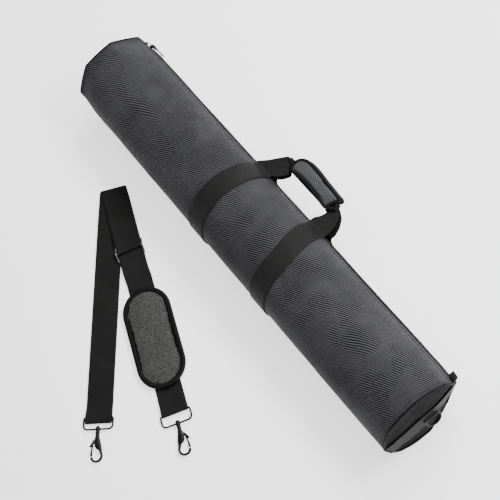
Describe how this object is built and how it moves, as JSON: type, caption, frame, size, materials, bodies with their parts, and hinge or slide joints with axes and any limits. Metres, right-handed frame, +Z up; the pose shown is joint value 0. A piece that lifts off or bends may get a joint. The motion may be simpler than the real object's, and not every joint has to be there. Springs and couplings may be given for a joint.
{
  "type": "drawing tube",
  "caption": "Padded fabric carrying tube for rolled drawings with a full-length zip, wrapped carry handle, end rings and a detached padded shoulder strap.",
  "frame": {"origin": "middle of the flat that the tube rests on", "axes": "+X along the tube towards the near end, +Y towards the zip and handle, +Z up"},
  "size_m": [0.9206, 0.6263, 0.1566],
  "materials": {
    "oxford_cloth": "woven, slight sheen",
    "grip_cloth": "woven, slight sheen",
    "black_webbing": "ribbed webbing",
    "black_piping": "matt binding",
    "lining_cloth": "smooth",
    "touch_tape": "napped",
    "foam": "closed-cell",
    "zip_nylon": "satin",
    "gunmetal": "black nickel",
    "bright_steel": "polished"
  },
  "bodies": {
    "tube": {"outer_shell": "oxford_cloth", "foam_padding": "foam", "inner_lining": "lining_cloth", "near_end_panel": "oxford_cloth", "near_end_foam": "foam", "near_end_lining": "lining_cloth", "near_end_piping": "black_piping", "far_end_panel": "oxford_cloth", "far_end_foam": "foam", "far_end_lining": "lining_cloth", "far_end_piping": "black_piping", "zip_tape_upper": "black_webbing", "zip_tape_lower": "black_webbing", "zip_coil_upper": "zip_nylon", "zip_coil_lower": "zip_nylon", "zip_stops": "gunmetal", "zip_end_tab": "black_webbing", "carry_band_far": "black_webbing", "carry_band_near": "black_webbing", "near_end_webbing": "black_webbing", "near_ring_keeper": "black_webbing", "far_end_webbing": "black_webbing", "far_ring_keeper": "black_webbing"},
    "zip_slider": {"zip_slider": "gunmetal"},
    "zip_pull": {"zip_pull": "gunmetal"},
    "handle": {"handle_strap_front": "black_webbing", "handle_strap_back": "black_webbing", "grip_wrap": "grip_cloth", "grip_loop_tape": "touch_tape"},
    "grip_flap": {"grip_flap": "grip_cloth", "grip_hook_tape": "touch_tape"},
    "near_end_ring": {"near_end_ring": "gunmetal"},
    "far_end_ring": {"far_end_ring": "gunmetal"},
    "shoulder_strap": {"strap_left_leg": "black_webbing", "strap_right_leg": "black_webbing", "strap_fold": "black_webbing"},
    "adjuster": {"strap_adjuster": "bright_steel", "strap_tail_loop": "black_webbing"},
    "shoulder_pad": {"pad_sleeve": "lining_cloth", "pad_backing": "lining_cloth", "pad_foam": "foam", "pad_cover": "oxford_cloth", "pad_binding": "black_piping"},
    "left_swivel_ring": {"left_swivel_ring": "gunmetal"},
    "left_hook": {"left_hook": "gunmetal", "left_gate_pin": "bright_steel", "left_gate_spring": "bright_steel"},
    "left_gate": {"left_gate": "gunmetal"},
    "right_swivel_ring": {"right_swivel_ring": "gunmetal"},
    "right_hook": {"right_hook": "gunmetal", "right_gate_pin": "bright_steel", "right_gate_spring": "bright_steel"},
    "right_gate": {"right_gate": "gunmetal"}
  },
  "joints": [
    {"name": "zip_slide", "type": "slide", "parent": "tube", "child": "zip_slider", "axis": [1, 0, 0], "range_m": [0, 0.811]},
    {"name": "zip_pull_flip", "type": "hinge", "parent": "zip_slider", "child": "zip_pull", "pos_m": [-0.418, 0.08207, 0.09238], "axis": [0, -0.2079, 0.9781], "range_deg": [0, 150]},
    {"name": "handle_swing", "type": "hinge", "parent": "tube", "child": "handle", "pos_m": [0.02, 0.08999, 0.09407], "axis": [1, 0, 0], "range_deg": [-55, 55]},
    {"name": "grip_open", "type": "hinge", "parent": "handle", "child": "grip_flap", "pos_m": [0.02, 0.14198, 0.10921], "axis": [-1, 0, 0], "range_deg": [0, 150]},
    {"name": "near_ring_hinge", "type": "hinge", "parent": "tube", "child": "near_end_ring", "pos_m": [0.4515, 0.013, 0.06294], "axis": [0, -1, 0], "range_deg": [-20, 140]},
    {"name": "far_ring_hinge", "type": "hinge", "parent": "tube", "child": "far_end_ring", "pos_m": [-0.4515, 0.013, 0.06294], "axis": [0, 1, 0], "range_deg": [-20, 140]},
    {"name": "strap_lift", "type": "slide", "parent": "tube", "child": "shoulder_strap", "axis": [0, 0, 1], "range_m": [0, 0.3]},
    {"name": "adjuster_slide", "type": "slide", "parent": "shoulder_strap", "child": "adjuster", "axis": [0.9311, -0.3649, 0], "range_m": [0, 0.024]},
    {"name": "pad_slide", "type": "slide", "parent": "shoulder_strap", "child": "shoulder_pad", "axis": [0.9311, -0.3649, 0], "range_m": [-0.018, 0.008]},
    {"name": "left_ring_hinge", "type": "hinge", "parent": "shoulder_strap", "child": "left_swivel_ring", "pos_m": [0.03438, -0.42607, 0.0044], "axis": [-0.632, -0.7749, 0], "range_deg": [0, 100]},
    {"name": "left_hook_swivel", "type": "hinge", "parent": "left_swivel_ring", "child": "left_hook", "pos_m": [0.05065, -0.43934, 0.0044], "axis": [0.7749, -0.632, 0], "continuous": true},
    {"name": "left_gate_hinge", "type": "hinge", "parent": "left_hook", "child": "left_gate", "pos_m": [0.06223, -0.45678, 0.0044], "axis": [0, 0, 1], "range_deg": [0, 20], "stiffness_Nm_per_rad": 0.02, "springref_deg": -17.19},
    {"name": "right_ring_hinge", "type": "hinge", "parent": "shoulder_strap", "child": "right_swivel_ring", "pos_m": [0.12373, -0.31417, 0.0044], "axis": [-0.3649, -0.9311, 0], "range_deg": [0, 100]},
    {"name": "right_hook_swivel", "type": "hinge", "parent": "right_swivel_ring", "child": "right_hook", "pos_m": [0.14329, -0.32183, 0.0044], "axis": [0.9311, -0.3649, 0], "continuous": true},
    {"name": "right_gate_hinge", "type": "hinge", "parent": "right_hook", "child": "right_gate", "pos_m": [0.16417, -0.32336, 0.0044], "axis": [0, 0, -1], "range_deg": [0, 20], "stiffness_Nm_per_rad": 0.02, "springref_deg": -17.19}
  ]
}
